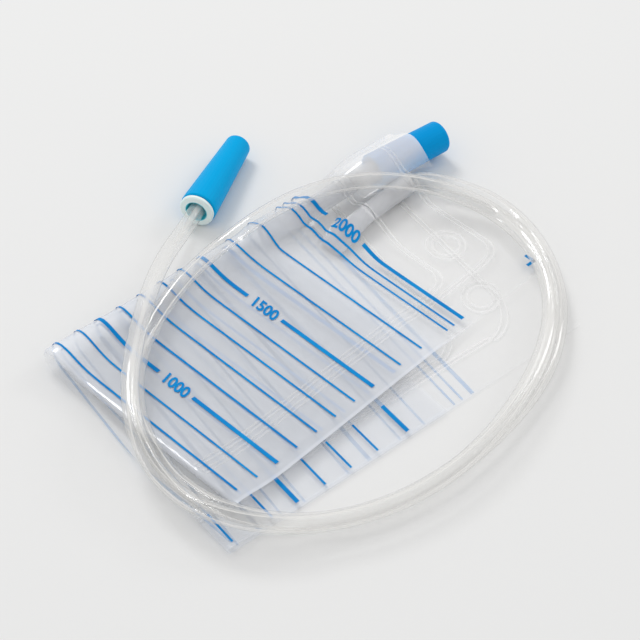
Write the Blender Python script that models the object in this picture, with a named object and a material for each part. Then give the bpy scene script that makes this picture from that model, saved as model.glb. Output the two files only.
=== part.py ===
"""A folded two-litre urine drainage bag with its coiled inlet tube, capped connector and capped drain.

Metres, +Z up. The origin lies on the bag's underside, in the middle of the folded bag, and +Y runs
along the bag towards its hanging edge. The bag was folded twice: its lower end was tucked up behind
it along the cross fold, and then the whole was folded lengthwise, with the print outside.
"""

import math

import bpy
from mathutils import Vector

# The flat bag
BAG_WIDTH = 0.206
TOP_REACH_X = 0.043
TOP_EDGE_Y = 0.084
SHOULDER_DROP = 0.007
TUCK_TOP_Y = 0.012
FILM = 0.0007
HOLE_RADIUS = 0.004
HOLE_CENTRE = Vector((0.0092, 0.0589, 0.0))

# How it is folded: the cross fold at the bottom and the lengthwise fold on the left
FOLD_CORNER = Vector((-0.055, -0.083, 0.0))
FOLD_LEAN = math.radians(3.3)
PLY_STEP = 0.0012
PLY_STEP_AT_FOLD = 0.0016
PLY_STEP_FADE = 0.012
PLY_GAP = 0.0013
HEADER_GAP = 0.0016
ROLL_RADIUS = 0.0026
ROLL_MIDDLE = 0.0009
ROLL_CORNER = 0.0017
ROLL_CORNER_FADE = 0.025
ROLL_TOP = 0.0019
ROLL_FADE = 0.009
CORNER_SOFTNESS = 0.001

# The drain tube and its cap
DRAIN_START = Vector((-0.0420, 0.0129, 0.0))
DRAIN_LEAN = math.radians(8.6)
DRAIN_RADIUS = 0.0040
DRAIN_BORE = 0.0028
DRAIN_LENGTH = 0.0725
DRAIN_LOW_Z = 0.00505
DRAIN_RISE = 0.0030
DRAIN_RISE_START = 0.016
DRAIN_RISE_END = 0.044
DRAIN_CAP_FROM = 0.0525
DRAIN_CAP_LENGTH = 0.034
DRAIN_CAP_RADIUS = 0.0070
DRAIN_CAP_TIP_RADIUS = 0.0065
DRAIN_CAP_ROUNDING = 0.0015
DRAIN_CAP_END_WALL = 0.0035
DRAIN_CAP_MOUTH_RADIUS = 0.0060
DRAIN_CAP_MOUTH_DEPTH = 0.005
DRAIN_CAP_DIMPLE_RADIUS = 0.0036
DRAIN_CAP_DIMPLE_DEPTH = 0.0010
DRAIN_COVER = 0.00115
DRAIN_CREST = 0.0162
DRAIN_SPREAD = 0.0095
DRAIN_CAP_SPREAD = 0.0132
DRAIN_COVER_START = 0.035
DRAIN_COVER_END = 0.050

# The inlet port and the valve sleeve under it
PORT_TOP = Vector((-0.0216, 0.0710, 0.00525))
PORT_LENGTH = 0.022
PORT_RADIUS = 0.0042
PORT_FLANGE_LENGTH = 0.002
PORT_BODY_RADIUS = 0.0039
PORT_SOCKET_DEPTH = 0.009
PORT_CREST = 0.0106
PORT_SPREAD = 0.0085
PORT_DRIFT = 0.0116
PORT_EDGE_CREST = 0.0014
PORT_EDGE_SPREAD = 0.0055
VALVE_GAP = 0.0006
VALVE_LENGTH = 0.021
VALVE_START_RADIUS = 0.0037
VALVE_HALF_WIDTH = 0.0056
VALVE_HALF_LIP = 0.0009
VALVE_WALL = 0.00045
VALVE_LEVEL = 0.0021

# The inlet tube
TUBE_RADIUS = 0.0032
TUBE_LUMEN = 0.0024

# The connector and its cap
MOUTH_PLACE = Vector((-0.0676, 0.0027, 0.0072))
AIM = math.radians(113.4)
DIP = math.radians(2.6)
CONNECTOR_LENGTH = 0.036
COLLAR_LENGTH = 0.0018
COLLAR_RADIUS = 0.0068
SEAT_LENGTH = 0.009
SEAT_RADIUS = 0.0054
SEAT_END_RADIUS = 0.0051
NOZZLE_RADIUS = 0.0046
TIP_RADIUS = 0.0031
NOZZLE_BORE = 0.0019
MOUTH_BORE = 0.0042
SOCKET_DEPTH = 0.010
CAP_LENGTH = 0.0405
CAP_MOUTH_RADIUS = 0.0071
CAP_TIP_RADIUS = 0.0050
CAP_WALL = 0.0012
CAP_END_WALL = 0.0020
CAP_ROUNDING = 0.0012
CAP_RIM_LENGTH = 0.002

# Fits
TOUCH = 0.0003
SLIDE_FIT = 0.0003

# How finely round things are cut
ROUND_STEPS = 32
TUBE_SIDES = 3
ROLL_STEPS = 5
NOSE_STEPS = 4

# The tube's centre line in millimetres, from the inlet port round the coil to the connector
ROUTE_MM = (
    (-71.4, 11.6, 6.8),
    (-63.3, -7.1, 8.1),
    (-55.4, -23.7, 11.4),
    (-46.4, -38.6, 14.2),
    (-34.8, -54.9, 15.8),
    (-22.2, -70.2, 17.5),
    (-11.4, -81.0, 17.8),
    (-1.4, -88.4, 17.6),
    (6.8, -92.8, 16.6),
    (14.4, -95.1, 13.9),
    (22.5, -96.0, 11.7),
    (31.7, -96.0, 11.5),
    (40.9, -94.5, 12.2),
    (49.2, -91.1, 12.3),
    (56.8, -85.5, 11.4),
    (64.4, -77.5, 10.0),
    (70.9, -67.9, 8.5),
    (77.4, -56.6, 8.6),
    (82.3, -43.8, 8.7),
    (85.3, -29.9, 9.0),
    (86.2, -15.5, 9.5),
    (84.9, 0.2, 9.9),
    (81.2, 17.2, 10.0),
    (75.9, 32.7, 10.1),
    (69.4, 45.6, 10.4),
    (61.8, 56.1, 10.4),
    (53.3, 64.5, 10.7),
    (43.7, 70.9, 11.1),
    (33.1, 75.6, 10.6),
    (22.3, 79.2, 8.6),
    (14.2, 80.9, 7.1),
    (6.8, 80.3, 7.4),
    (-1.2, 77.6, 8.8),
    (-8.2, 73.8, 10.3),
    (-13.5, 68.3, 12.9),
    (-19.8, 61.9, 14.5),
    (-27.3, 54.0, 15.0),
    (-33.9, 43.7, 15.3),
    (-39.1, 32.2, 14.9),
    (-42.1, 20.9, 14.3),
    (-43.1, 8.9, 14.1),
    (-44.3, -1.2, 12.2),
    (-44.5, -11.1, 11.1),
    (-42.5, -25.1, 10.9),
    (-38.7, -40.0, 9.9),
    (-33.8, -52.1, 8.9),
    (-27.8, -61.9, 9.2),
    (-19.7, -71.4, 10.5),
    (-10.3, -79.5, 11.3),
    (-1.3, -85.2, 11.2),
    (6.6, -88.4, 9.9),
    (14.6, -89.9, 7.7),
    (24.2, -90.6, 7.2),
    (34.8, -89.8, 7.6),
    (43.2, -87.8, 8.2),
    (50.3, -83.8, 7.2),
    (57.4, -77.7, 5.6),
    (63.6, -69.9, 3.6),
    (70.3, -60.6, 3.3),
    (76.0, -49.3, 3.3),
    (80.3, -36.0, 3.3),
    (82.8, -20.5, 3.3),
    (83.3, -2.9, 3.3),
    (81.8, 15.2, 3.3),
    (78.6, 30.2, 3.3),
    (74.1, 42.6, 3.8),
    (67.9, 53.5, 4.4),
    (60.1, 63.4, 4.4),
    (51.7, 71.0, 5.2),
    (41.8, 77.4, 6.1),
    (30.8, 83.0, 5.3),
    (21.3, 86.8, 3.8),
    (12.9, 88.1, 3.5),
    (3.7, 87.2, 4.3),
    (-6.6, 84.2, 4.6),
    (-14.6, 80.6, 4.8),
    (-19.5, 76.7, 5.1),
    (-21.6, 71.2, 5.2),
    (-21.6, 62.3, 5.2),
)


def smooth(value, start, end):
    """0 before start, 1 after end and a smooth rise between them."""
    share = min(1.0, max(0.0, (value - start) / (end - start)))
    return share * share * (3 - 2 * share)


def soft_max(first, second):
    """The larger of two heights, rounded where they cross."""
    return 0.5 * (first + second + math.hypot(first - second, CORNER_SOFTNESS))


def bell(distance, spread):
    """1 at the middle, falling away softly on both sides."""
    return math.exp(-(distance / spread) ** 2)


def material(name, colour, roughness, alpha=1.0):
    """A plain plastic: its colour, its polish and how solid it looks."""
    made = bpy.data.materials.new(name)
    made.use_nodes = True
    shader = made.node_tree.nodes["Principled BSDF"]
    shader.inputs["Base Color"].default_value = (*colour, 1.0)
    shader.inputs["Roughness"].default_value = roughness
    shader.inputs["Metallic"].default_value = 0.0
    shader.inputs["Alpha"].default_value = alpha
    return made


def add_mesh(name, vertices, faces, finish, origin=Vector((0.0, 0.0, 0.0))):
    """Makes an object from vertices given in the shared frame, with its origin where asked."""
    mesh = bpy.data.meshes.new(name)
    mesh.from_pydata([tuple(vertex - origin) for vertex in vertices], [], faces)
    mesh.validate()
    mesh.update()
    made = bpy.data.objects.new(name, mesh)
    bpy.context.scene.collection.objects.link(made)
    made.location = origin
    made.data.materials.append(finish)
    return made


def frame_along(direction):
    """Two directions square to the given one: the first level, the second upward."""
    side = Vector((direction.y, -direction.x, 0.0))
    if side.length < 1e-6:
        side = Vector((1.0, 0.0, 0.0))
    side = side.normalized()
    return side, side.cross(direction).normalized()


def turned(name, start, direction, profile, finish, closed, origin=None, steps=ROUND_STEPS):
    """Turns a profile of (distance along, radius) around an axis.

    A closed profile makes a ring or a pipe; an open one starts and ends on the axis itself.
    """
    direction = direction.normalized()
    side, up = frame_along(direction)
    vertices = []
    rings = []
    for distance, radius in profile:
        centre = start + direction * distance
        if radius < 1e-9:
            rings.append([len(vertices)])
            vertices.append(centre)
            continue
        ring = []
        for step in range(steps):
            angle = 2 * math.pi * step / steps
            ring.append(len(vertices))
            vertices.append(centre + (side * math.cos(angle) + up * math.sin(angle)) * radius)
        rings.append(ring)
    faces = []
    count = len(rings)
    for index in range(count if closed else count - 1):
        first = rings[index]
        second = rings[(index + 1) % count]
        for step in range(steps):
            after = (step + 1) % steps
            if len(first) == 1:
                faces.append((first[0], second[step], second[after]))
            elif len(second) == 1:
                faces.append((first[step], second[0], first[after]))
            else:
                faces.append((first[step], second[step], second[after], first[after]))
    return add_mesh(name, vertices, faces, finish, start if origin is None else origin)


def swept_pipe(name, centres, shapes, finish, origin):
    """A pipe along a line of centres, each with its own outer and inner half sizes, across and up."""
    vertices = []
    outer = []
    inner = []
    for index, centre in enumerate(centres):
        before = centres[max(0, index - 1)]
        after = centres[min(len(centres) - 1, index + 1)]
        side, up = frame_along((after - before).normalized())
        rings = []
        for half_width, half_height in shapes[index]:
            ring = []
            for step in range(ROUND_STEPS):
                angle = 2 * math.pi * step / ROUND_STEPS
                across = side * (half_width * math.cos(angle))
                ring.append(len(vertices))
                vertices.append(centre + across + up * (half_height * math.sin(angle)))
            rings.append(ring)
        outer.append(rings[0])
        inner.append(rings[1])
    loop = outer + inner[::-1]
    faces = []
    for index in range(len(loop)):
        first = loop[index]
        second = loop[(index + 1) % len(loop)]
        for step in range(ROUND_STEPS):
            after = (step + 1) % ROUND_STEPS
            faces.append((first[step], second[step], second[after], first[after]))
    return add_mesh(name, vertices, faces, finish, origin)


# The folded film

def fold_x(y):
    """Where the lengthwise fold line runs at a place along the bag."""
    return FOLD_CORNER.x + (y - FOLD_CORNER.y) * math.tan(FOLD_LEAN)


def ply_step(y):
    """How far the tucked ply lies from the outer ply."""
    return PLY_STEP + PLY_STEP_AT_FOLD * bell(y - FOLD_CORNER.y, PLY_STEP_FADE)


def roll_radius(y):
    """How round the lengthwise fold is at a place along the bag."""
    middle = ROLL_MIDDLE * (1 - smooth(y, -0.020, 0.030))
    corner = ROLL_CORNER * bell(y - FOLD_CORNER.y, ROLL_CORNER_FADE)
    return ROLL_RADIUS + middle + corner + ROLL_TOP * smooth(y, 0.035, 0.070)


def drain_axis():
    """The level direction of the drain tube."""
    return Vector((math.sin(DRAIN_LEAN), math.cos(DRAIN_LEAN), 0.0))


def drain_height(distance):
    """The height of the drain tube's centre line: it rises to hold the thicker cap off the film."""
    return DRAIN_LOW_Z + DRAIN_RISE * smooth(distance, DRAIN_RISE_START, DRAIN_RISE_END)


def cover_height(x, y):
    """The mid height of the upper outer ply, which drapes over everything inside the fold."""
    tucked = 1 - smooth(y, 0.0135, 0.030)
    base = FILM / 2 + HEADER_GAP + (2 * ply_step(y) - (HEADER_GAP - PLY_GAP)) * tucked
    radius = roll_radius(y)
    beyond = max(0.0, (x - fold_x(y)) * math.cos(FOLD_LEAN) - radius)
    lift = max(0.0, FILM / 2 + 2 * radius - base)
    height = base + lift * bell(beyond, ROLL_FADE)
    offset = Vector((x, y, 0.0)) - DRAIN_START
    axis = drain_axis()
    distance = offset.dot(axis)
    aside = offset.x * axis.y - offset.y * axis.x
    over_cap = smooth(distance, DRAIN_COVER_START, DRAIN_COVER_END)
    over_tube = drain_height(distance) + DRAIN_RADIUS + DRAIN_COVER
    crest = over_tube + (DRAIN_CREST - over_tube) * over_cap
    spread = DRAIN_SPREAD + (DRAIN_CAP_SPREAD - DRAIN_SPREAD) * over_cap
    height = soft_max(height, crest * bell(aside, spread) * smooth(distance, -0.016, -0.002))
    edge = smooth(y, 0.070, 0.086)
    port_x = PORT_TOP.x + PORT_DRIFT * edge
    port = (PORT_CREST + PORT_EDGE_CREST * edge) * smooth(y, 0.010, 0.044)
    port = port * bell(x - port_x, PORT_SPREAD + PORT_EDGE_SPREAD * edge)
    return soft_max(height, port)


def film_point(side, column, y, depth):
    """One point of the film's mid surface; the column is a roll angle or a share of the flat part."""
    radius = roll_radius(y)
    reach = TOP_REACH_X - fold_x(y)
    if side < 0:
        reach = BAG_WIDTH - reach
    kind, value = column
    edge_x = fold_x(y) + radius
    half_height = (cover_height(edge_x, y) - FILM / 2) / 2
    if kind == "roll":
        turn = math.sin(value)
        away = radius - (radius - depth) * math.cos(value)
        height = FILM / 2 + half_height + (half_height - depth) * turn
    else:
        turn = side
        away = radius + (reach - radius) * value
        height = FILM / 2 + depth
        if side > 0:
            height = cover_height(fold_x(y) + away, y) - depth
    heading = FOLD_LEAN * (turn - 1)
    row = Vector((math.cos(heading), math.sin(heading), 0.0))
    return Vector((fold_x(y), y, height)) + row * away


def film_columns():
    """The columns of the grid, from the lower half's free edge over the roll to the upper one."""
    columns = [(-1, ("flat", 1 - step / 11)) for step in range(11)]
    for step in range(2 * ROLL_STEPS + 1):
        angle = math.pi / 2 * (step / ROLL_STEPS - 1)
        columns.append((0, ("roll", angle)))
    columns += [(1, ("flat", (step / 24) ** 1.25)) for step in range(1, 25)]
    return columns


def film_rows():
    """The rows of the grid as (share of the way up, tucked share, nose angle)."""
    rows = []
    for step in range(9):
        rows.append(("tucked", 1 - step / 9))
    for step in range(NOSE_STEPS + 1):
        rows.append(("nose", math.pi * (1 - step / NOSE_STEPS)))
    for share in (0.09, 0.20, 0.31, 0.41, 0.475, 0.52, 0.56):
        rows.append(("outer", share))
    for step in range(20):
        rows.append(("outer", 0.58 + 0.42 * step / 19))
    return rows


def row_place(row, across):
    """The place along the bag, the depth of the ply and how far the row is from the free edge."""
    kind, value = row
    bottom = FOLD_CORNER.y
    if kind == "nose":
        depth = ply_step(bottom)
        return bottom - depth / 2 * math.sin(value), depth / 2 * (1 - math.cos(value))
    if kind == "tucked":
        y = bottom + (TUCK_TOP_Y - bottom) * value
        return y, ply_step(y)
    top = TOP_EDGE_Y - SHOULDER_DROP * across * across
    return bottom + (top - bottom) * value, 0.0


def folded_film(finish):
    """The whole bag as one thin sheet with both folds in it."""
    columns = film_columns()
    rows = film_rows()
    middle = []
    for row in rows:
        line = []
        for side, column in columns:
            across = column[1] if column[0] == "flat" else 0.0
            y, depth = row_place(row, across)
            line.append(film_point(side, column, y, depth))
        middle.append(line)
    count_rows = len(rows)
    count_columns = len(columns)
    above = []
    below = []
    for i in range(count_rows):
        for j in range(count_columns):
            left = middle[i][max(0, j - 1)]
            right = middle[i][min(count_columns - 1, j + 1)]
            back = middle[max(0, i - 1)][j]
            front = middle[min(count_rows - 1, i + 1)][j]
            normal = (right - left).cross(front - back).normalized()
            above.append(middle[i][j] + normal * (FILM / 2))
            below.append(middle[i][j] - normal * (FILM / 2))
    size = count_rows * count_columns
    faces = []
    for i in range(count_rows - 1):
        for j in range(count_columns - 1):
            a = i * count_columns + j
            b = a + 1
            c = a + count_columns + 1
            d = a + count_columns
            faces.append((a, b, c, d))
            faces.append((size + d, size + c, size + b, size + a))
    rim = [j for j in range(count_columns)]
    rim += [i * count_columns + count_columns - 1 for i in range(1, count_rows)]
    rim += [(count_rows - 1) * count_columns + j for j in range(count_columns - 2, -1, -1)]
    rim += [i * count_columns for i in range(count_rows - 2, 0, -1)]
    for index, first in enumerate(rim):
        second = rim[(index + 1) % len(rim)]
        faces.append((first, size + first, size + second, second))
    return add_mesh("bag", above + below, faces, finish)


def punch_holes(bag):
    """Cuts a hanging hole through each half of the bag with an exact boolean."""
    height = cover_height(HOLE_CENTRE.x, HOLE_CENTRE.y)
    lower = lower_hole()
    for name, centre, low, high in (
        ("cutter_upper", HOLE_CENTRE, height - 0.0007, 0.03),
        ("cutter_lower", lower, -0.01, 0.0012),
    ):
        base = Vector((centre.x, centre.y, low))
        profile = ((0.0, 0.0), (0.0, HOLE_RADIUS), (high - low, HOLE_RADIUS), (high - low, 0.0))
        cutter = turned(name, base, Vector((0.0, 0.0, 1.0)), profile, bag.data.materials[0], False)
        cutter.hide_render = True
        cutter.display_type = "WIRE"
        cut = bag.modifiers.new(name, "BOOLEAN")
        cut.operation = "DIFFERENCE"
        cut.solver = "EXACT"
        cut.object = cutter


def lower_hole():
    """The lower half's hanging hole, as far from its own free edge as the upper one is."""
    y = HOLE_CENTRE.y
    from_edge = TOP_REACH_X - HOLE_CENTRE.x
    away = BAG_WIDTH - (TOP_REACH_X - fold_x(y)) - from_edge
    heading = -2 * FOLD_LEAN
    return Vector((fold_x(y) + away * math.cos(heading), y + away * math.sin(heading), 0.0))


# The fittings

def drain_tube(finish):
    """The short soft drain tube from the bag's lower end into its cap."""
    axis = drain_axis()
    centres = []
    for step in range(21):
        distance = DRAIN_LENGTH * step / 20
        centres.append(DRAIN_START + axis * distance + Vector((0.0, 0.0, drain_height(distance))))
    shape = ((DRAIN_RADIUS, DRAIN_RADIUS), (DRAIN_BORE, DRAIN_BORE))
    return swept_pipe("drain_tube", centres, [shape] * len(centres), finish, centres[0])


def drain_cap(finish):
    """The blue cap over the drain tube's end: it pulls straight off."""
    length = DRAIN_CAP_LENGTH
    fit = DRAIN_RADIUS + SLIDE_FIT
    rounding = DRAIN_CAP_ROUNDING
    profile = [(length - DRAIN_CAP_END_WALL, 0.0), (length - DRAIN_CAP_END_WALL, fit)]
    profile += [(DRAIN_CAP_MOUTH_DEPTH, fit), (0.0, DRAIN_CAP_MOUTH_RADIUS)]
    profile += [(0.0, DRAIN_CAP_RADIUS - 0.0003), (0.0003, DRAIN_CAP_RADIUS)]
    for step in range(5):
        angle = math.pi / 2 * step / 4
        along = length - rounding * (1 - math.sin(angle))
        profile.append((along, DRAIN_CAP_TIP_RADIUS - rounding * (1 - math.cos(angle))))
    profile += [(length, DRAIN_CAP_DIMPLE_RADIUS)]
    profile += [(length - DRAIN_CAP_DIMPLE_DEPTH, DRAIN_CAP_DIMPLE_RADIUS - 0.0004)]
    profile += [(length - DRAIN_CAP_DIMPLE_DEPTH, 0.0)]
    start = DRAIN_START + drain_axis() * DRAIN_CAP_FROM
    start.z = DRAIN_LOW_Z + DRAIN_RISE
    return turned("outlet_cap", start, drain_axis(), profile, finish, False)


def inlet_port(finish):
    """The moulded port that holds the tube's end between the films."""
    depth = PORT_SOCKET_DEPTH
    fit = TUBE_RADIUS + TOUCH
    length = PORT_LENGTH
    flange = PORT_FLANGE_LENGTH
    profile = [(0.0, fit), (0.0, PORT_RADIUS), (flange, PORT_RADIUS), (flange + 0.0004, PORT_BODY_RADIUS)]
    profile += [(length, PORT_BODY_RADIUS - 0.0002), (length, TUBE_LUMEN)]
    profile += [(depth, TUBE_LUMEN), (depth, fit)]
    return turned("inlet_port", PORT_TOP, Vector((0.0, -1.0, 0.0)), profile, finish, True)


def valve(finish):
    """The flat sleeve that lets urine in and not back: a round mouth drawn out to a thin slit."""
    centres = []
    shapes = []
    for step in range(9):
        share = step / 8
        half_width = VALVE_START_RADIUS + (VALVE_HALF_WIDTH - VALVE_START_RADIUS) * smooth(share, 0.0, 0.8)
        half_height = VALVE_START_RADIUS + (VALVE_HALF_LIP - VALVE_START_RADIUS) * smooth(share, 0.0, 0.9)
        y = PORT_TOP.y - PORT_LENGTH - VALVE_GAP - VALVE_LENGTH * share
        z = PORT_TOP.z + (VALVE_LEVEL - PORT_TOP.z) * smooth(share, 0.0, 0.9)
        centres.append(Vector((PORT_TOP.x, y, z)))
        inner = (half_width - VALVE_WALL, half_height - VALVE_WALL)
        shapes.append(((half_width, half_height), inner))
    return swept_pipe("non_return_valve", centres, shapes, finish, centres[0])


def cord_axis():
    """The direction the connector points in: almost level, its tip resting lower."""
    level = Vector((math.cos(AIM), math.sin(AIM), 0.0))
    return level * math.cos(DIP) - Vector((0.0, 0.0, math.sin(DIP)))


def connector(finish):
    """The stepped connector with its round collar and the socket that takes the tube."""
    start = MOUTH_PLACE
    fit = TUBE_RADIUS + TOUCH
    profile = [(0.0, MOUTH_BORE), (0.0, COLLAR_RADIUS - 0.0004), (0.0004, COLLAR_RADIUS)]
    profile += [(COLLAR_LENGTH - 0.0004, COLLAR_RADIUS), (COLLAR_LENGTH, COLLAR_RADIUS - 0.0004)]
    profile += [(COLLAR_LENGTH, SEAT_RADIUS), (SEAT_LENGTH, SEAT_END_RADIUS)]
    profile += [(SEAT_LENGTH + 0.0004, NOZZLE_RADIUS)]
    steps = 3
    run = (CONNECTOR_LENGTH - SEAT_LENGTH - 0.001) / steps
    drop = (NOZZLE_RADIUS - TIP_RADIUS) / steps
    for step in range(steps):
        start_at = SEAT_LENGTH + 0.001 + run * step
        radius = NOZZLE_RADIUS - drop * step
        profile += [(start_at + run * 0.8, radius - drop * 0.25), (start_at + run, radius - drop)]
    profile += [(CONNECTOR_LENGTH, NOZZLE_BORE), (SOCKET_DEPTH, TUBE_LUMEN)]
    profile += [(SOCKET_DEPTH, fit), (SOCKET_DEPTH * 0.5, fit)]
    return turned("connector", start, cord_axis(), profile, finish, True)


def connector_cap(finish):
    """The long blue cap over the connector: it pulls straight off."""
    start = MOUTH_PLACE + cord_axis() * (COLLAR_LENGTH + TOUCH)
    length = CAP_LENGTH
    rounding = CAP_ROUNDING

    def outside(distance):
        share = max(0.0, distance - CAP_RIM_LENGTH) / (length - CAP_RIM_LENGTH)
        return CAP_MOUTH_RADIUS + (CAP_TIP_RADIUS - CAP_MOUTH_RADIUS) * share

    end = length - CAP_END_WALL
    profile = [(end, 0.0), (end, outside(end) - CAP_WALL), (CAP_RIM_LENGTH, outside(0.0) - CAP_WALL)]
    profile += [(0.0, outside(0.0) - CAP_WALL), (0.0, CAP_MOUTH_RADIUS - 0.0004)]
    profile += [(0.0004, CAP_MOUTH_RADIUS), (CAP_RIM_LENGTH, CAP_MOUTH_RADIUS)]
    for step in range(5):
        angle = math.pi / 2 * step / 4
        along = length - rounding * (1 - math.sin(angle))
        profile.append((along, outside(length - rounding) - rounding * (1 - math.cos(angle))))
    profile += [(length, 0.0)]
    return turned("connector_cap", start, cord_axis(), profile, finish, False)


def inlet_tube(finish):
    """The long tube as a plain round cord along its measured centre line."""
    curve = bpy.data.curves.new("tube", "CURVE")
    curve.dimensions = "3D"
    curve.bevel_depth = TUBE_RADIUS
    curve.bevel_resolution = TUBE_SIDES
    curve.use_fill_caps = True
    spline = curve.splines.new("POLY")
    spline.points.add(len(ROUTE_MM) - 1)
    for point, place in zip(spline.points, ROUTE_MM):
        point.co = (place[0] / 1000, place[1] / 1000, place[2] / 1000, 1.0)
    made = bpy.data.objects.new("tube", curve)
    bpy.context.scene.collection.objects.link(made)
    made.data.materials.append(finish)
    return made


def main():
    for item in list(bpy.data.objects):
        bpy.data.objects.remove(item, do_unlink=True)
    bag = folded_film(material("bag_film", (0.86, 0.88, 0.95), 0.25, 0.45))
    punch_holes(bag)
    drain_tube(material("drain_tube_pvc", (0.90, 0.90, 0.88), 0.2, 0.7))
    drain_cap(material("outlet_cap_blue", (0.0, 0.352, 0.776), 0.3))
    inlet_port(material("inlet_port_clear", (0.92, 0.93, 0.94), 0.2, 0.8))
    valve(material("valve_film", (0.90, 0.92, 0.96), 0.3, 0.6))
    inlet_tube(material("tube_pvc", (0.92, 0.91, 0.88), 0.15, 0.7))
    connector(material("connector_mint", (0.83, 0.95, 0.93), 0.35))
    connector_cap(material("connector_cap_blue", (0.0, 0.352, 0.776), 0.3))


main()
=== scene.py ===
import math

import bmesh
import bpy
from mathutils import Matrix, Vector


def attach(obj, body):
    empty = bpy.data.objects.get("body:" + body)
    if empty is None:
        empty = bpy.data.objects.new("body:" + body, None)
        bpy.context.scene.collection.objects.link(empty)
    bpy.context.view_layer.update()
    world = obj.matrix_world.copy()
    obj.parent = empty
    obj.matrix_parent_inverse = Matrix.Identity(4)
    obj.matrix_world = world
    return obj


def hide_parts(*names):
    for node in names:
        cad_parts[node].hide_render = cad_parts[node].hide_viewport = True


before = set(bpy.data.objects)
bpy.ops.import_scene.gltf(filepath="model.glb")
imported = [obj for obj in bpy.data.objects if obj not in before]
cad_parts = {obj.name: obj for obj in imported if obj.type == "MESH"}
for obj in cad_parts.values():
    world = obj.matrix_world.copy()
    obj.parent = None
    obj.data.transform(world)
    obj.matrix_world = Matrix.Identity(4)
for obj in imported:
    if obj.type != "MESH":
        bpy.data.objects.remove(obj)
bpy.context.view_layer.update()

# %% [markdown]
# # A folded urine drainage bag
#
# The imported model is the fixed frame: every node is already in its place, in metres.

MM = 0.001

# %% [markdown]
# ## Camera, table and light
#
# The photograph looks down on the table at about 47 degrees through a long lens.
# A camera could be tracked to a target with a constraint, but a plain rotation from the
# viewing direction stays put when other views turn round the object.

# %% Camera
VIEW_TURN = math.radians(44.1)
VIEW_RISE = math.radians(47.3)
VIEW_DISTANCE = 0.723
VIEW_TARGET = Vector((0.0033, -0.0030, 0.0046))
toward_camera = Vector((
    math.sin(VIEW_TURN) * math.cos(VIEW_RISE),
    -math.cos(VIEW_TURN) * math.cos(VIEW_RISE),
    math.sin(VIEW_RISE),
))
camera_data = bpy.data.cameras.new("view")
camera_data.lens = 112.5
camera_data.sensor_width = 36.0
camera_data.clip_start = 0.01
camera = bpy.data.objects.new("view", camera_data)
camera.location = VIEW_TARGET + toward_camera * VIEW_DISTANCE
camera.rotation_euler = toward_camera.to_track_quat("Z", "Y").to_euler()
bpy.context.scene.collection.objects.link(camera)
bpy.context.scene.camera = camera
bpy.context.scene.view_settings.view_transform = "Standard"
print("camera at", [round(v, 3) for v in camera.location])

# %% [markdown]
# The tube is the one free cord, so its centre line comes next. These are the places of the
# frame's own tube, from the inlet port under the film, twice round, to the connector.

# %% The tube's centre line, in millimetres
TUBE_ROUTE = (
    (-71.4, 11.6, 6.8), (-63.3, -7.1, 8.1), (-55.4, -23.7, 11.4), (-46.4, -38.6, 14.2),
    (-34.8, -54.9, 15.8), (-22.2, -70.2, 17.5), (-11.4, -81.0, 17.8), (-1.4, -88.4, 17.6),
    (6.8, -92.8, 16.6), (14.4, -95.1, 13.9), (22.5, -96.0, 11.7), (31.7, -96.0, 11.5),
    (40.9, -94.5, 12.2), (49.2, -91.1, 12.3), (56.8, -85.5, 11.4), (64.4, -77.5, 10.0),
    (70.9, -67.9, 8.5), (77.4, -56.6, 8.6), (82.3, -43.8, 8.7), (85.3, -29.9, 9.0),
    (86.2, -15.5, 9.5), (84.9, 0.2, 9.9), (81.2, 17.2, 10.0), (75.9, 32.7, 10.1),
    (69.4, 45.6, 10.4), (61.8, 56.1, 10.4), (53.3, 64.5, 10.7), (43.7, 70.9, 11.1),
    (33.1, 75.6, 10.6), (22.3, 79.2, 8.6), (14.2, 80.9, 7.1), (6.8, 80.3, 7.4),
    (-1.2, 77.6, 8.8), (-8.2, 73.8, 10.3), (-13.5, 68.3, 12.9), (-19.8, 61.9, 14.5),
    (-27.3, 54.0, 15.0), (-33.9, 43.7, 15.3), (-39.1, 32.2, 14.9), (-42.1, 20.9, 14.3),
    (-43.1, 8.9, 14.1), (-44.3, -1.2, 12.2), (-44.5, -11.1, 11.1), (-42.5, -25.1, 10.9),
    (-38.7, -40.0, 9.9), (-33.8, -52.1, 8.9), (-27.8, -61.9, 9.2), (-19.7, -71.4, 10.5),
    (-10.3, -79.5, 11.3), (-1.3, -85.2, 11.2), (6.6, -88.4, 9.9), (14.6, -89.9, 7.7),
    (24.2, -90.6, 7.2), (34.8, -89.8, 7.6), (43.2, -87.8, 8.2), (50.3, -83.8, 7.2),
    (57.4, -77.7, 5.6), (63.6, -69.9, 3.6), (70.3, -60.6, 3.3), (76.0, -49.3, 3.3),
    (80.3, -36.0, 3.3), (82.8, -20.5, 3.3), (83.3, -2.9, 3.3), (81.8, 15.2, 3.3),
    (78.6, 30.2, 3.3), (74.1, 42.6, 3.8), (67.9, 53.5, 4.4), (60.1, 63.4, 4.4),
    (51.7, 71.0, 5.2), (41.8, 77.4, 6.1), (30.8, 83.0, 5.3), (21.3, 86.8, 3.8),
    (12.9, 88.1, 3.5), (3.7, 87.2, 4.3), (-6.6, 84.2, 4.6), (-14.6, 80.6, 4.8),
    (-19.5, 76.7, 5.1), (-21.6, 71.2, 5.2), (-21.6, 62.3, 5.2),
)
TUBE_RADIUS = 3.2 * MM


def rounded_line(points, per_span):
    """A smooth curve through the given points: a Catmull-Rom line, a few steps to each span."""
    line = []
    for index in range(len(points) - 1):
        a = points[max(0, index - 1)]
        b = points[index]
        c = points[index + 1]
        d = points[min(len(points) - 1, index + 2)]
        for step in range(per_span):
            t = step / per_span
            line.append(0.5 * (2 * b + (c - a) * t + (2 * a - 5 * b + 4 * c - d) * t * t
                               + (3 * b - a - 3 * c + d) * t * t * t))
    line.append(points[-1])
    return line


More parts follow.
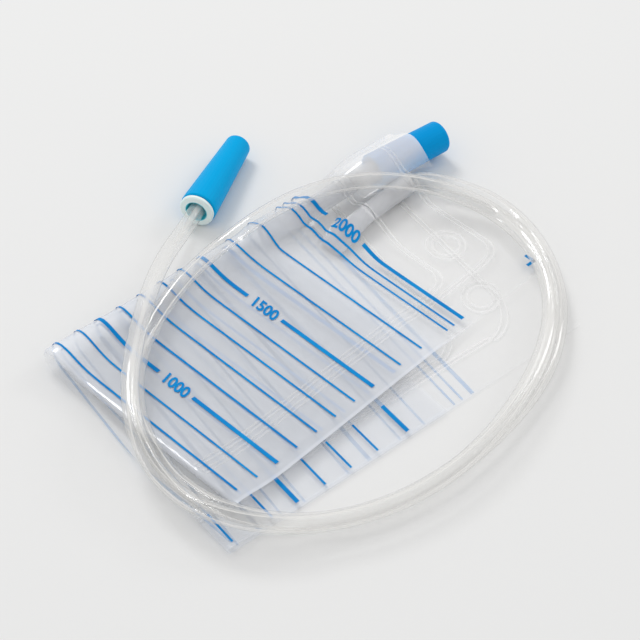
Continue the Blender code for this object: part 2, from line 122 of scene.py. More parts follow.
route = [Vector(place) * MM for place in reversed(TUBE_ROUTE)]
tube_line = rounded_line(route, 4)

# %% [markdown]
# A pale table runs on past the frame. One broad, soft lamp from the upper left and an even
# white sky give the gentle shadows of a light tent.

# %% Table and lamps
TABLE_GREY = 0.84
SKY_STRENGTH = 0.71
LAMP_SIZE = 0.85


def add_plane(name, size, height):
    """A square plane made with the grid operator, at a given height."""
    mesh = bpy.data.meshes.new(name)
    bm = bmesh.new()
    bmesh.ops.create_grid(bm, x_segments=1, y_segments=1, size=size / 2)
    bmesh.ops.translate(bm, verts=bm.verts, vec=(0.0, 0.0, height))
    bm.to_mesh(mesh)
    bm.free()
    plane = bpy.data.objects.new(name, mesh)
    bpy.context.scene.collection.objects.link(plane)
    return plane


table = add_plane("table", 6.0, -0.0002)
table_paint = bpy.data.materials.new("table_paint")
table_paint.use_nodes = True
table_shader = table_paint.node_tree.nodes["Principled BSDF"]
table_shader.inputs["Base Color"].default_value = (TABLE_GREY, TABLE_GREY, TABLE_GREY * 0.995, 1.0)
table_shader.inputs["Roughness"].default_value = 0.9
table_shader.inputs["Specular IOR Level"].default_value = 0.0
table.data.materials.append(table_paint)

sky = bpy.data.worlds.new("sky")
bpy.context.scene.world = sky
sky.use_nodes = True
sky.node_tree.nodes["Background"].inputs["Color"].default_value = (1.0, 1.0, 1.0, 1.0)
sky.node_tree.nodes["Background"].inputs["Strength"].default_value = SKY_STRENGTH


def add_lamp(name, place, size, power):
    """A square soft lamp that faces the object."""
    lamp_data = bpy.data.lights.new(name, "AREA")
    lamp_data.shape = "SQUARE"
    lamp_data.size = size
    lamp_data.energy = power
    lamp = bpy.data.objects.new(name, lamp_data)
    lamp.location = place
    lamp.rotation_euler = Vector(place).to_track_quat("Z", "Y").to_euler()
    bpy.context.scene.collection.objects.link(lamp)
    return lamp


add_lamp("softbox_left", (-1.75, 0.45, 2.10), LAMP_SIZE, 23.0)
add_lamp("softbox_back", (0.65, 2.30, 1.70), LAMP_SIZE, 8.0)
print("lamps placed")

# %% [markdown]
# ## How the film is folded
#
# The real bag is two clear films welded round the edges. It was folded twice: its lower end
# was tucked up behind, and then the bag was folded lengthwise with the print outside.
#
# A cloth simulation could fold it, but it would never keep the print's lines where the
# photograph shows them. So one function says where any place of the flat bag ends up: first
# over the cross fold, then round the lengthwise fold. Film, print, and weld lines all use it.

# %% Fold shape, in millimetres
BAG_WIDTH = 206.0
FREE_EDGE_X = 43.0
TOP_EDGE_Y = 84.0
SHOULDER_DROP = 7.0
TUCK_TOP_Y = 12.0
FOLD_X = -55.0
FOLD_Y = -83.0
FOLD_LEAN = math.radians(3.3)
FILM_MIDDLE = 0.35
DRAIN_FOOT = (-42.0, 12.9)
DRAIN_LEAN = math.radians(8.6)
PORT_X = -21.6


def smooth(value, start, end):
    """0 before start, 1 after end and a smooth rise between them."""
    share = min(1.0, max(0.0, (value - start) / (end - start)))
    return share * share * (3 - 2 * share)


def soft_max(first, second):
    """The larger of two heights, rounded where they cross."""
    return 0.5 * (first + second + math.hypot(first - second, 1.0))


def bell(distance, spread):
    """1 at the middle, falling away softly on both sides."""
    return math.exp(-(distance / spread) ** 2)


def fold_line_x(y):
    """Where the lengthwise fold runs at a place along the bag."""
    return FOLD_X + (y - FOLD_Y) * math.tan(FOLD_LEAN)


def ply_step(y):
    """How far the tucked ply lies from the outer one."""
    return 1.2 + 1.6 * bell(y - FOLD_Y, 12.0)


def roll_radius(y):
    """How round the lengthwise fold is at a place along the bag."""
    middle = 0.9 * (1 - smooth(y, -20.0, 30.0))
    return 2.6 + middle + 1.7 * bell(y - FOLD_Y, 25.0) + 1.9 * smooth(y, 35.0, 70.0)


print("fold radius in mm", [round(roll_radius(y), 2) for y in (-83, -40, 0, 40, 84)])

# %% [markdown]
# The upper half drapes over what lies inside the fold: the drain tube and its cap, and the
# inlet port. Each of them lifts the film in a soft ridge, and the film spans the valley
# between the two.

# %% Ridges of the upper half
CAP_CREST = 16.2
TUBE_CREST = 10.2
TUBE_CREST_RISE = 3.0
TUBE_SPREAD = 9.5
CAP_SPREAD = 3.7
PORT_CREST = 10.6
PORT_SPREAD = 8.5
PORT_FLARE = 11.6
SPAN_CREST = 8.3
SPAN_X = -30.5
SPAN_SPREAD = 8.5


def cover_height(x, y):
    """The height of the upper half's outer ply over the table, in millimetres."""
    tucked = 1 - smooth(y, 13.5, 30.0)
    base = FILM_MIDDLE + 1.6 + (2 * ply_step(y) - 0.3) * tucked
    radius = roll_radius(y)
    beyond = max(0.0, (x - fold_line_x(y)) * math.cos(FOLD_LEAN) - radius)
    height = base + max(0.0, FILM_MIDDLE + 2 * radius - base) * bell(beyond, 9.0)
    side_x = x - DRAIN_FOOT[0]
    side_y = y - DRAIN_FOOT[1]
    distance = side_x * math.sin(DRAIN_LEAN) + side_y * math.cos(DRAIN_LEAN)
    aside = side_x * math.cos(DRAIN_LEAN) - side_y * math.sin(DRAIN_LEAN)
    over_cap = smooth(distance, 35.0, 50.0)
    over_tube = TUBE_CREST + TUBE_CREST_RISE * smooth(distance, 16.0, 44.0)
    crest = over_tube + (CAP_CREST - over_tube) * over_cap
    ridge = crest * smooth(distance, -16.0, -2.0)
    ridge *= bell(aside, TUBE_SPREAD + CAP_SPREAD * over_cap)
    height = soft_max(height, ridge)
    edge = smooth(y, 70.0, 86.0)
    port = (PORT_CREST + 1.4 * edge) * smooth(y, 10.0, 44.0)
    slope = 7.0 * smooth(x - PORT_X, 0.0, 9.0) * (1 - smooth(y, 46.0, 58.0))
    port *= bell(x - (PORT_X + PORT_FLARE * edge), PORT_SPREAD + 5.5 * edge + slope)
    span = SPAN_CREST * smooth(y, 6.0, 34.0) * (1 - smooth(y, 56.0, 70.0))
    span *= bell(x - SPAN_X, SPAN_SPREAD)
    return soft_max(soft_max(height, port), span)


NOSE_LENGTH = math.pi * ply_step(FOLD_Y) / 2


def past_cross_fold(v, lift):
    """The place along the bag and the depth of the ply, after the cross fold."""
    if v >= FOLD_Y:
        return v, -lift
    step = ply_step(FOLD_Y)
    if v > FOLD_Y - NOSE_LENGTH:
        turn = (FOLD_Y - v) / NOSE_LENGTH * math.pi
        radius = step / 2 + lift
        return FOLD_Y - radius * math.sin(turn), step / 2 - radius * math.cos(turn)
    y = FOLD_Y + (FOLD_Y - NOSE_LENGTH - v)
    return y, ply_step(y) + lift


def folded(across, v, lift=0.0):
    """Where a place of the flat bag ends up, in metres; lift raises it off the printed face."""
    y, depth = past_cross_fold(v, lift)
    radius = roll_radius(y)
    start_x = fold_line_x(y)
    side = 1 if across >= 0 else -1
    arc = abs(across)
    half = (cover_height(start_x + radius, y) - FILM_MIDDLE) / 2
    if arc < radius * math.pi / 2:
        angle = arc / radius
        turn = side * math.sin(angle)
        away = radius - (radius - depth) * math.cos(angle)
        z = FILM_MIDDLE + half + (half - depth) * turn
    else:
        turn = side
        away = radius + arc - radius * math.pi / 2
        z = FILM_MIDDLE + depth
        if side > 0:
            z = cover_height(start_x + away, y) - depth
    heading = FOLD_LEAN * (turn - 1)
    return Vector((start_x + away * math.cos(heading), y + away * math.sin(heading), z)) * MM


def half_width(side, y):
    """How far the flat bag reaches from the fold line to its free edge."""
    radius = roll_radius(y)
    reach = FREE_EDGE_X - fold_line_x(y)
    if side < 0:
        reach = BAG_WIDTH - reach
    return reach + radius * (math.pi / 2 - 1)


def from_free_edge(side, inset, v):
    """The signed place across the bag that lies a given way in from a free edge."""
    y = past_cross_fold(v, 0.0)[0]
    return side * (half_width(side, y) - inset)


FLAT_LOW = FOLD_Y - NOSE_LENGTH - (TUCK_TOP_Y - FOLD_Y)
print("flat length in mm", round(TOP_EDGE_Y - FLAT_LOW, 1))

# %% [markdown]
# ## Film material
#
# A few short helpers build every material, so that each one below is only its own numbers.

# %% Helpers for materials


def new_material(name, colour, roughness, alpha=1.0):
    """A Principled material with its plain numbers set on the shader's own sockets."""
    made = bpy.data.materials.new(name)
    made.use_nodes = True
    shader = made.node_tree.nodes["Principled BSDF"]
    shader.inputs["Base Color"].default_value = (*colour, 1.0)
    shader.inputs["Roughness"].default_value = roughness
    shader.inputs["Alpha"].default_value = alpha
    return made, made.node_tree, shader


def add_node(tree, kind, **values):
    """A node with its input sockets filled in by name."""
    node = tree.nodes.new(kind)
    for name, value in values.items():
        node.inputs[name.replace("_", " ")].default_value = value
    return node


def maths(tree, operation, first, second=0.0):
    """A Math node from sockets or numbers."""
    node = tree.nodes.new("ShaderNodeMath")
    node.operation = operation
    for index, value in enumerate((first, second)):
        if isinstance(value, (int, float)):
            node.inputs[index].default_value = value
        else:
            tree.links.new(value, node.inputs[index])
    return node.outputs[0]


def blend_colours(tree, share, first, second):
    """Mixes two colours by a share."""
    node = tree.nodes.new("ShaderNodeMix")
    node.data_type = "RGBA"
    tree.links.new(share, node.inputs[0])
    for index, value in ((6, first), (7, second)):
        if isinstance(value, tuple):
            node.inputs[index].default_value = (*value, 1.0)
        else:
            tree.links.new(value, node.inputs[index])
    return node.outputs[2]


def rise(tree, value, low, high, start=0.0, end=1.0):
    """Maps a range smoothly to another."""
    node = tree.nodes.new("ShaderNodeMapRange")
    node.interpolation_type = "SMOOTHSTEP"
    tree.links.new(value, node.inputs["Value"])
    node.inputs["From Min"].default_value = low
    node.inputs["From Max"].default_value = high
    node.inputs["To Min"].default_value = start
    node.inputs["To Max"].default_value = end
    return node.outputs["Result"]


def object_noise(tree, scale, detail, stretch=(1.0, 1.0, 1.0), distortion=0.0):
    """Noise on Object coordinates, stretched as asked."""
    place = tree.nodes.new("ShaderNodeTexCoord")
    mapping = tree.nodes.new("ShaderNodeMapping")
    mapping.inputs["Scale"].default_value = stretch
    noise = add_node(tree, "ShaderNodeTexNoise", Scale=scale, Detail=detail, Distortion=distortion)
    tree.links.new(place.outputs["Object"], mapping.inputs["Vector"])
    tree.links.new(mapping.outputs["Vector"], noise.inputs["Vector"])
    return noise.outputs["Fac"]


def add_bump(tree, shader, height, strength, distance):
    """A bump from a height socket, chained in front of any bump that is already there."""
    bump = add_node(tree, "ShaderNodeBump", Strength=strength, Distance=distance)
    tree.links.new(height, bump.inputs["Height"])
    before = shader.inputs["Normal"]
    if before.is_linked:
        tree.links.new(before.links[0].from_socket, bump.inputs["Normal"])
    tree.links.new(bump.outputs["Normal"], before)


# %% [markdown]
# Soft clear film looks milky where several plies lie together, and small creases catch the
# light. It could be glass, but glass would need many samples and would hide the milky veil.
# So it is a smooth plastic that lets part of the light through, with two sizes of crinkle in
# its bump.
#
# The bag's own flat map tells the shader where it is: along the bag in metres, and across it
# from -1 at the far half's free edge to 1 at the upper half's. The lavender veil could be in
# every ply, but light would be lost in each. So it lies in the printed upper ply alone.

# %% Bag film
FILM_CLEAR = (0.99, 0.985, 0.99)
FILM_BODY = (0.88, 0.92, 1.0)
CLEAR_ALPHA = 0.024
BODY_ALPHA = 0.014
VEIL_ALPHA = 0.50
MILK_ALPHA = 0.02
STRIP_ALPHA = 0.12
EDGE_ALPHA = 0.10
CRUMPLED_ALPHA = 0.6
film_material, tree, shader = new_material("bag_film_clear", FILM_CLEAR, 0.14)
shader.inputs["Specular IOR Level"].default_value = 1.0
shader.inputs["Coat Weight"].default_value = 1.0
shader.inputs["Coat Roughness"].default_value = 0.1
uv = tree.nodes.new("ShaderNodeUVMap")
uv.uv_map = "flat_bag"
split = tree.nodes.new("ShaderNodeSeparateXYZ")
tree.links.new(uv.outputs["UV"], split.inputs[0])
along = split.outputs["Y"]
signed_share = split.outputs["X"]
edge_share = maths(tree, "ABSOLUTE", signed_share)
upper_half = rise(tree, signed_share, -0.02, 0.02)
outer_ply = rise(tree, along, -0.087, -0.083)
in_body = rise(tree, along, 0.048, 0.005)
milk = rise(tree, object_noise(tree, 24.0, 3.0), 0.35, 0.7)
tree.links.new(blend_colours(tree, in_body, FILM_CLEAR, FILM_BODY), shader.inputs["Base Color"])
clear_alpha = maths(tree, "MULTIPLY_ADD", in_body, BODY_ALPHA)
clear_alpha.node.inputs[2].default_value = CLEAR_ALPHA
veil = maths(tree, "MULTIPLY", maths(tree, "MULTIPLY", upper_half, outer_ply), in_body)
veiled_alpha = maths(tree, "ADD", clear_alpha, maths(tree, "MULTIPLY", veil, VEIL_ALPHA))
milky_alpha = maths(tree, "ADD", veiled_alpha, maths(tree, "MULTIPLY", milk, MILK_ALPHA))
far_strip = maths(tree, "MULTIPLY", rise(tree, signed_share, -0.80, -0.84), in_body)
strip_alpha = maths(tree, "ADD", milky_alpha, maths(tree, "MULTIPLY", far_strip, STRIP_ALPHA))
edge_line = rise(tree, edge_share, 0.982, 0.992)
edge_alpha = maths(tree, "ADD", strip_alpha, maths(tree, "MULTIPLY", edge_line, EDGE_ALPHA))
high_up = rise(tree, along, 0.047, 0.057)
near_fold = rise(tree, edge_share, 0.34, 0.22)
crumpled = maths(tree, "MULTIPLY", maths(tree, "MULTIPLY", high_up, near_fold), upper_half)
film_alpha = maths(tree, "ADD", edge_alpha, maths(tree, "MULTIPLY", crumpled, CRUMPLED_ALPHA))
tree.links.new(film_alpha, shader.inputs["Alpha"])
long_creases = object_noise(tree, 30.0, 3.0, (1.0, 0.28, 1.0), 0.8)
add_bump(tree, shader, long_creases, 0.45, 0.004)
short_creases = object_noise(tree, 120.0, 3.0, (0.5, 1.0, 1.0), 0.5)
add_bump(tree, shader, short_creases, 0.2, 0.001)
print("film material", len(tree.nodes), "nodes")

# %% [markdown]
# ## The folded film
#
# The sheet starts as a flat grid, as the bag did. Rows and columns are closer together near
# the folds. The two hanging holes are opened in the flat grid first, and then every vertex
# goes to its folded place.

# %% Film sheet
HOLE_RADIUS = 4.0
HOLE_V = 58.9
HOLE_INSET = 33.8


def spaced(count, power):
    """Places from 0 to 1 that start close together."""
    return [(step / count) ** power for step in range(count + 1)]


HALF_COLUMNS = 64
CROWDING = 1.12
OUTER_ROWS, NOSE_ROWS, TUCK_ROWS = 72, 8, 40
half_shares = spaced(HALF_COLUMNS, CROWDING)
across_shares = [-share for share in reversed(half_shares)][:-1] + half_shares
along_places = []
for step in range(OUTER_ROWS):
    along_places.append(TOP_EDGE_Y - (TOP_EDGE_Y - FOLD_Y) * step / OUTER_ROWS)
for step in range(NOSE_ROWS):
    along_places.append(FOLD_Y - NOSE_LENGTH * step / NOSE_ROWS)
for step in range(TUCK_ROWS + 1):
    tuck_length = TUCK_TOP_Y - FOLD_Y
    along_places.append(FOLD_Y - NOSE_LENGTH - tuck_length * step / TUCK_ROWS)

hole_places = []
for side in (1, -1):
    hole_places.append((from_free_edge(side, HOLE_INSET, HOLE_V), HOLE_V))

bm = bmesh.new()
columns = len(across_shares)
rows = len(along_places)
bmesh.ops.create_grid(bm, x_segments=columns - 1, y_segments=rows - 1, size=1.0)
uv_layer = bm.loops.layers.uv.new("flat_bag")
flat_places = {}
for vert in bm.verts:
    column = round((vert.co.x + 1) / 2 * (columns - 1))
    row = round((1 - vert.co.y) / 2 * (rows - 1))
    share = across_shares[column]
    side = 1 if share >= 0 else -1
    v = along_places[row]
    if v > FOLD_Y:
        drop = SHOULDER_DROP * share * share * (v - FOLD_Y) / (TOP_EDGE_Y - FOLD_Y)
        v -= drop
    y = past_cross_fold(v, 0.0)[0]
    flat_places[vert] = [share * half_width(side, y), v]

doomed = []
for centre in hole_places:
    for face in bm.faces:
        spots = [flat_places[vert] for vert in face.verts]
        gaps = [math.hypot(spot[0] - centre[0], spot[1] - centre[1]) for spot in spots]
        if sum(gaps) / len(gaps) < HOLE_RADIUS:
            doomed.append(face)
doomed_verts = {vert for face in doomed for vert in face.verts}
bmesh.ops.delete(bm, geom=doomed, context="FACES")
for vert in doomed_verts:
    if not vert.is_valid:
        continue
    spot = flat_places[vert]
    centre = min(hole_places, key=lambda c: math.hypot(spot[0] - c[0], spot[1] - c[1]))
    away = math.hypot(spot[0] - centre[0], spot[1] - centre[1])
    spot[0] = centre[0] + (spot[0] - centre[0]) / away * HOLE_RADIUS
    spot[1] = centre[1] + (spot[1] - centre[1]) / away * HOLE_RADIUS
for vert in bm.verts:
    spot = flat_places[vert]
    vert.co = folded(spot[0], spot[1])
for face in bm.faces:
    face.smooth = True
    for loop in face.loops:
        spot = flat_places[loop.vert]
        side = 1 if spot[0] >= 0 else -1
        share = spot[0] / max(1.0, half_width(side, past_cross_fold(spot[1], 0.0)[0]))
        loop[uv_layer].uv = (share, spot[1] * MM)
film_mesh = bpy.data.meshes.new("bag_film")
bm.to_mesh(film_mesh)
bm.free()
film = bpy.data.objects.new("bag_film", film_mesh)
bpy.context.scene.collection.objects.link(film)
film.data.materials.append(film_material)
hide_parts("bag")
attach(film, "bag_body")
print("film faces", len(film_mesh.polygons))

# %% [markdown]
# ## Printed scale and weld lines
#
# The print is a thin coat of blue ink on the outside of the film. It could be drawn in the
# film's shader, but thin strips stay sharp at any distance and can bend with the folds. Each
# line is one ribbon of the flat bag, laid a hair above the printed face.

# %% Ribbons on the film


def ribbon(bm, path, width, lift, crown=0.0):
    """A grid strip along a path of flat places, laid on the film; a crown makes it a bead."""
    spans = len(path) - 1
    lanes = 2 if crown else 1
    strip = bmesh.ops.create_grid(bm, x_segments=spans, y_segments=lanes, size=1.0)
    for vert in strip["verts"]:
        index = round((vert.co.x + 1) / 2 * spans)
        aside = vert.co.y / 2
        before = path[max(0, index - 1)]
        after = path[min(spans, index + 1)]
        run = Vector((after[0] - before[0], after[1] - before[1])).normalized()
        u = path[index][0] - run.y * aside * width
        v = path[index][1] + run.x * aside * width
        vert.co = folded(u, v, lift + crown * (1 - 2 * abs(aside)))
        for face in vert.link_faces:
            face.smooth = True


def finish_piece(bm, name, material, body="bag_body"):
    """Turns a bmesh into a piece that rides on a body."""
    mesh = bpy.data.meshes.new(name)
    bm.to_mesh(mesh)
    bm.free()
    piece = bpy.data.objects.new(name, mesh)
    bpy.context.scene.collection.objects.link(piece)
    piece.data.materials.append(material)
    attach(piece, body)
    return piece


FAR_SLANT = 0.085


def straight(start, end, v, step=2.0):
    """A path straight across the bag at one place along it."""
    count = max(2, int(abs(end - start) / step))
    return [(start + (end - start) * k / count, v) for k in range(count + 1)]


def slanted(path):
    """The far half's print and welds run at a small slant, as the photograph shows them."""
    turn = 1 if path[0][1] > FOLD_Y else -0.35
    return [(u, v + min(0.0, u) * FAR_SLANT * turn) for u, v in path]


# %% [markdown]
# The ink is a flat blue with a little wear. The far half is seen through clouded film, so its
# print could be the same ink under more veil. A fainter ink of its own is easier to tune.

# %% Ink and scale lines
ink, tree, shader = new_material("scale_ink", (0.0, 0.16, 0.58), 0.5)
shader.inputs["Specular IOR Level"].default_value = 0.1
wear = rise(tree, object_noise(tree, 90.0, 3.0), 0.3, 0.75)
worn_blue = blend_colours(tree, wear, (0.0, 0.21, 0.58), (0.0, 0.28, 0.67))
tree.links.new(worn_blue, shader.inputs["Base Color"])
SCALE_TOP = 35.0
THICK, THIN = 1.6, 0.85
PRINT_LIFT = 0.32
LINE_END = 4.2
STRIP_LINE_END = 1.8
STRIP_WIDTH = 16.0
GAP_BEFORE, GAP_AFTER = 3.6, 2.2
CORNER_MARK_V = 75.4
CORNER_MARK_INSET = 4.6
CORNER_MARK_ARM = 4.2
CORNER_MARK_TAIL = 0.6
CORNER_MARK_WIDTH = 1.3
upper_lines = [(0.0, THICK), (-4.8, THIN), (-8.5, THIN), (-22.6, THIN), (-33.6, THIN)]
upper_lines += [(-47.7, THICK), (-57.2, THIN), (-66.8, THIN), (-76.3, THIN), (-85.9, THIN)]
upper_lines += [(-95.4, THICK), (-104.9, THIN), (-114.5, THIN)]
lower_lines = [(-127.5, THIN), (-144.4, THIN), (-155.1, THICK), (-167.1, THIN), (-178.5, THIN)]
lower_lines += [(-190.4, THIN), (-204.0, THICK)]
NUMBERS = {0.0: ("2000", 23.4, 13.0), -47.7: ("1500", 32.4, 11.7), -95.4: ("1000", 39.4, 11.6)}

faint_ink, tree, shader = new_material("scale_ink_behind", (0.14, 0.44, 0.86), 0.5)
shader.inputs["Specular IOR Level"].default_value = 0.1
faded = rise(tree, object_noise(tree, 90.0, 3.0), 0.3, 0.75, 0.20, 0.34)
tree.links.new(faded, shader.inputs["Alpha"])

bm = bmesh.new()
behind = bmesh.new()
for offset, width in upper_lines + lower_lines:
    v = SCALE_TOP + offset
    right = from_free_edge(1, LINE_END, v)
    inner_end = from_free_edge(-1, STRIP_WIDTH, v)
    strong = bm if offset < upper_lines[-1][0] else behind
    outer_end = from_free_edge(-1, STRIP_LINE_END, v)
    ribbon(strong, slanted(straight(outer_end, inner_end, v)), width, PRINT_LIFT)
    ribbon(behind, slanted(straight(inner_end, 0.0, v)), width, PRINT_LIFT)
    if offset in NUMBERS:
        word, gap_start, gap_width = NUMBERS[offset]
        ribbon(bm, straight(0.0, gap_start - GAP_BEFORE, v), width, PRINT_LIFT)
        ribbon(bm, straight(gap_start + gap_width + GAP_AFTER, right, v), width, PRINT_LIFT)
    else:
        ribbon(bm, straight(0.0, right, v), width, PRINT_LIFT)
corner_u = from_free_edge(1, CORNER_MARK_INSET, CORNER_MARK_V)
arm = straight(corner_u - CORNER_MARK_ARM, corner_u + CORNER_MARK_TAIL, CORNER_MARK_V)
ribbon(bm, arm, CORNER_MARK_WIDTH, PRINT_LIFT)
mark_top = CORNER_MARK_V + CORNER_MARK_TAIL
leg = [(corner_u, mark_top - CORNER_MARK_ARM * k / 3) for k in range(4)]
ribbon(bm, leg, CORNER_MARK_WIDTH, PRINT_LIFT)
finish_piece(bm, "scale_print", ink)
finish_piece(behind, "scale_print_behind", faint_ink)
print("scale lines", len(upper_lines + lower_lines))

# %% [markdown]
# The volume numbers are plain text made a mesh. Each corner of a letter goes to its folded
# place too, so that the figures lie on the film as the ink does.

# %% Volume numbers
LETTER_HEIGHT = 5.0
LETTER_LEAN = 0.3
LETTER_WEIGHT = 0.034
bm = bmesh.new()
for offset, (word, start, width) in NUMBERS.items():
    text = bpy.data.curves.new("number", "FONT")
    text.body = word
    text.size = 1.0
    text.offset = LETTER_WEIGHT
    holder = bpy.data.objects.new("number", text)
    bpy.context.scene.collection.objects.link(holder)
    bpy.context.view_layer.update()
    flat = bpy.data.meshes.new_from_object(holder)
    xs = [vert.co.x for vert in flat.vertices]
    ys = [vert.co.y for vert in flat.vertices]
    letters = bmesh.new()
    letters.from_mesh(flat)
    bmesh.ops.triangulate(letters, faces=letters.faces)
    bmesh.ops.subdivide_edges(letters, edges=letters.edges, cuts=2, use_grid_fill=True)
    for vert in letters.verts:
        up = ((vert.co.y - min(ys)) / (max(ys) - min(ys)) - 0.5) * LETTER_HEIGHT
        across = start + (vert.co.x - min(xs)) / (max(xs) - min(xs)) * width - LETTER_LEAN * up
        vert.co = folded(across, SCALE_TOP + offset + up, PRINT_LIFT)
    letters.to_mesh(flat)
    letters.free()
    bm.from_mesh(flat)
    bpy.data.objects.remove(holder, do_unlink=True)
    bpy.data.meshes.remove(flat)
    bpy.data.curves.remove(text)
finish_piece(bm, "scale_numbers", ink)
print("numbers", [item[0] for item in NUMBERS.values()])

# %% [markdown]
# The welds show as fine double beads where the two films were melted together. They catch a
# bright edge of light, so they are small raised ribbons, not just lines. On the far half
# they are raised on the inner face, since its outer face lies on the table.

# %% Weld beads
weld_finish, tree, shader = new_material("weld_bead", (1.0, 1.0, 1.0), 0.35, 0.25)
add_bump(tree, shader, object_noise(tree, 300.0, 2.0), 0.08, 0.0004)
BEAD_WIDTH = 0.85
BEAD_CROWN = 0.08
BEAD_LIFT = 0.2
BEAD_GAP = 1.7
LEAD_STEPS = 30
OUTER_WELD = {"inset": 16.4, "top": 71.8, "start": 4.0, "rise": 0.0, "radii": {1: 8.0, -1: 14.0}}
INNER_WELD = {"inset": 20.4, "top": 46.5, "start": 8.0, "rise": 3.0, "radii": {1: 7.0, -1: 12.0}}
HOLE_RING_RADII = (5.2, 7.5)
RING_STEPS = 40
CORNER_STEPS = 8
EDGE_STEP = 1.5


def corner_path(side, inset, top, low, radius):
    """A weld path: down from a rounded corner, along a free edge."""
    path = []
    corner_u = abs(from_free_edge(side, inset, top))
    for step in range(CORNER_STEPS + 1):
        angle = math.pi / 2 * step / CORNER_STEPS
        u = corner_u - radius + radius * math.sin(angle)
        path.append((side * u, top - radius + radius * math.cos(angle)))
    v = top - radius
    while v > low:
        v -= EDGE_STEP
        path.append((from_free_edge(side, inset, v), v))
    return path


def weld_path(side, weld, shift):
    """One bead of a weld: from near the fold across the bag, then down along a free edge."""
    top = weld["top"] - shift
    turn = corner_path(side, weld["inset"] + shift, top, FOLD_Y + 2, weld["radii"][side])
    start = weld["start"]
    run = abs(turn[0][0]) - start
    lead = []
    for step in range(LEAD_STEPS):
        share = step / LEAD_STEPS
        lead.append((side * (start + run * share), top + weld["rise"] * (1 - share) ** 2))
    return slanted(lead + turn)


def lay_bead(bm, path, side):
    """A bead on the outer face of the upper half, or the inner face of the far half."""
    ribbon(bm, path[::side], BEAD_WIDTH, side * BEAD_LIFT, side * BEAD_CROWN)


bm = bmesh.new()
for shift in (0.0, BEAD_GAP):
    for side in (1, -1):
        lay_bead(bm, weld_path(side, OUTER_WELD, shift), side)
        lay_bead(bm, weld_path(side, INNER_WELD, shift), side)
for side, (centre_u, centre_v) in zip((1, -1), hole_places):
    for radius in HOLE_RING_RADII:
        ring = []
        for step in range(RING_STEPS + 1):
            angle = 2 * math.pi * step / RING_STEPS
            ring.append((centre_u + radius * math.cos(angle), centre_v + radius * math.sin(angle)))
        lay_bead(bm, ring, side)
finish_piece(bm, "weld_beads", weld_finish)
print("weld beads made")

# %% [markdown]
# ## Inlet tube
#
# The tube is clear, soft and hollow. A curve with a round bevel gives the outside. An inner
# wall could be a second surface, but every clear surface more costs light where two turns
# lie on four plies of film. So the gloss is on the outside only, and the shader is denser
# where the wall is seen edge on: at the rim, and in a fine line where the bore begins.

# %% Clear tubing
WALL_ALPHA = (0.13, 0.30)
BORE_LINE_ALPHA = 0.45
RIM_ALPHA = 0.38
tubing, tree, shader = new_material("clear_tubing", (0.90, 0.90, 0.88), 0.05)
shader.inputs["IOR"].default_value = 1.6
shader.inputs["Specular IOR Level"].default_value = 1.0
shader.inputs["Coat Weight"].default_value = 1.0
shader.inputs["Coat Roughness"].default_value = 0.04
facing = tree.nodes.new("ShaderNodeLayerWeight")
facing.inputs["Blend"].default_value = 0.5
wall = rise(tree, facing.outputs["Facing"], 0.30, 0.36, *WALL_ALPHA)
rim = rise(tree, facing.outputs["Facing"], 0.62, 0.88)
bore_start = rise(tree, facing.outputs["Facing"], 0.20, 0.27)
bore_end = rise(tree, facing.outputs["Facing"], 0.36, 0.29)
bore_edge = maths(tree, "MULTIPLY", bore_start, bore_end)
with_bore = maths(tree, "MULTIPLY_ADD", bore_edge, BORE_LINE_ALPHA)
tree.links.new(wall, with_bore.node.inputs[2])
with_rim = maths(tree, "MULTIPLY_ADD", rim, RIM_ALPHA)
tree.links.new(with_bore, with_rim.node.inputs[2])
tree.links.new(with_rim, shader.inputs["Alpha"])
# Painted shade: where the wall is seen edge on, its colour turns dark grey to stand in for the
# dark edges that refraction gives a clear tube.
rim_painted_shade = blend_colours(tree, rim, (0.91, 0.90, 0.875), (0.46, 0.46, 0.44))
tree.links.new(rim_painted_shade, shader.inputs["Base Color"])

curve = bpy.data.curves.new("tube_line", "CURVE")
curve.dimensions = "3D"
curve.bevel_depth = TUBE_RADIUS
curve.bevel_resolution = 8
curve.use_fill_caps = True
spline = curve.splines.new("POLY")
spline.points.add(len(tube_line) - 1)
for point, place in zip(spline.points, tube_line):
    point.co = (*place, 1.0)
holder = bpy.data.objects.new("tube_line", curve)
bpy.context.scene.collection.objects.link(holder)
bpy.context.view_layer.update()
tube_mesh = bpy.data.meshes.new_from_object(holder)
bpy.data.objects.remove(holder, do_unlink=True)
bm = bmesh.new()
bm.from_mesh(tube_mesh)
bmesh.ops.remove_doubles(bm, verts=bm.verts, dist=0.000001)
bmesh.ops.recalc_face_normals(bm, faces=bm.faces)
for face in bm.faces:
    face.smooth = True
inlet_tube = finish_piece(bm, "inlet_tube", tubing)
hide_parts("tube")
print("tube faces", len(inlet_tube.data.polygons))

# %% [markdown]
# The tube is the one free cord, and the film the one free sheet.

# %% Tube and sheet
print("tube and film built")

# %% [markdown]
# ## Caps, connector and fittings
#
# These moulded pieces keep their shape from the frame, and get the finish of the real ones.
# The blue light of the cap shines through the connector's open end. That light is painted into its
# bore as a teal colour, a painted glow:
# the shader measures how far each point lies from the connector's axis. The fittings inside
# the fold could be clear too, but so many clear walls in a row turn dark, so they are milky.

# %% Moulded finishes
BORE_RIM = (0.0046, 0.0042)
CONNECTOR_HEADING = (-0.39673, 0.91681, -0.04536)


def swirled_plastic(name, colour, darker, lighter):
    """A satin moulded plastic with a faint swirl of two tones."""
    made, tree, shader = new_material(name, colour, 0.42)
    shader.inputs["Specular IOR Level"].default_value = 0.06
    swirl = object_noise(tree, 60.0, 3.0, (1.0, 0.3, 1.0))
    swirled = blend_colours(tree, swirl, darker, lighter)
    tree.links.new(swirled, shader.inputs["Base Color"])
    return made, tree, shader


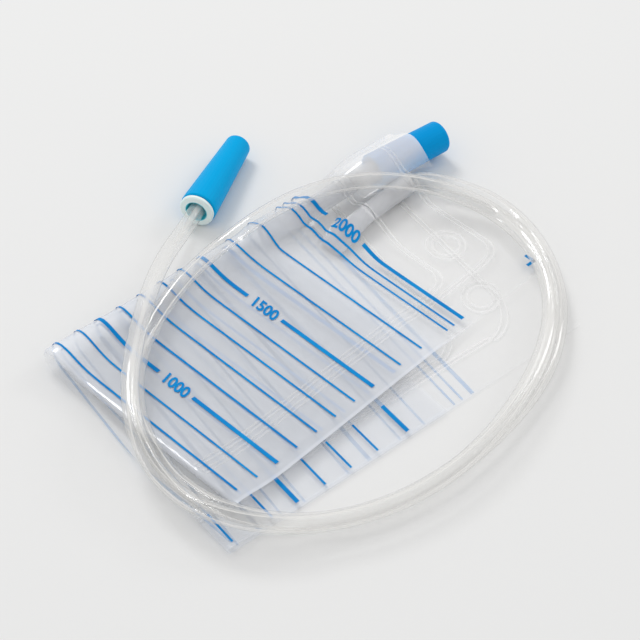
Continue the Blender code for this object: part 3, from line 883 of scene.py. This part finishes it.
cap_blue, tree, shader = swirled_plastic(
    "cap_blue", (0.0, 0.39, 0.79), (0.0, 0.36, 0.75), (0.0, 0.43, 0.83))
add_bump(tree, shader, object_noise(tree, 400.0, 2.0), 0.08, 0.0004)
deep_blue, tree, shader = swirled_plastic(
    "outlet_cap_deep_blue", (0.0, 0.29, 0.72), (0.0, 0.28, 0.68), (0.0, 0.36, 0.76))

mint, tree, shader = new_material("connector_mint", (0.78, 0.90, 0.86), 0.3)
shader.inputs["Subsurface Weight"].default_value = 0.3
shader.inputs["Subsurface Radius"].default_value = (0.002, 0.003, 0.003)
pale = object_noise(tree, 80.0, 2.0)
mint_face = blend_colours(tree, pale, (0.80, 0.95, 0.92), (0.86, 0.98, 0.95))
place = tree.nodes.new("ShaderNodeTexCoord")
from_end = tree.nodes.new("ShaderNodeVectorMath")
from_end.operation = "SUBTRACT"
tree.links.new(place.outputs["Object"], from_end.inputs[0])
from_end.inputs[1].default_value = tube_line[-1]
axis_gap = tree.nodes.new("ShaderNodeVectorMath")
axis_gap.operation = "CROSS_PRODUCT"
axis_run = tree.nodes.new("ShaderNodeVectorMath")
axis_run.operation = "DOT_PRODUCT"
for node in (axis_gap, axis_run):
    tree.links.new(from_end.outputs["Vector"], node.inputs[0])
    node.inputs[1].default_value = CONNECTOR_HEADING
gap_length = tree.nodes.new("ShaderNodeVectorMath")
gap_length.operation = "LENGTH"
tree.links.new(axis_gap.outputs["Vector"], gap_length.inputs[0])
near_axis = rise(tree, gap_length.outputs["Value"], *BORE_RIM)
in_socket = rise(tree, axis_run.outputs["Value"], 0.001, -0.001)
# Painted glow: inside the bore the mint turns teal to stand in for the cap's blue light, not for
# any colour of the connector.
painted_glow_share = maths(tree, "MULTIPLY", near_axis, in_socket)
mint_and_painted_glow = blend_colours(tree, painted_glow_share, mint_face, (0.06, 0.60, 0.72))
tree.links.new(mint_and_painted_glow, shader.inputs["Base Color"])

pale_fitting, tree, shader = new_material("fitting_pale", (0.86, 0.87, 0.90), 0.5, 0.5)
shader.inputs["Specular IOR Level"].default_value = 0.2
add_bump(tree, shader, object_noise(tree, 120.0, 2.0), 0.05, 0.0006)


def dress(node_name, material):
    """Gives a node of the frame a better material."""
    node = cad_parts[node_name]
    if not node.material_slots:
        node.data.materials.append(material)
    for held in node.material_slots:
        held.material = material


dress("outlet_cap", deep_blue)
dress("connector_cap", cap_blue)
dress("connector", mint)
dress("inlet_port", pale_fitting)
dress("drain_tube", pale_fitting)
dress("non_return_valve", pale_fitting)
print("fittings dressed")
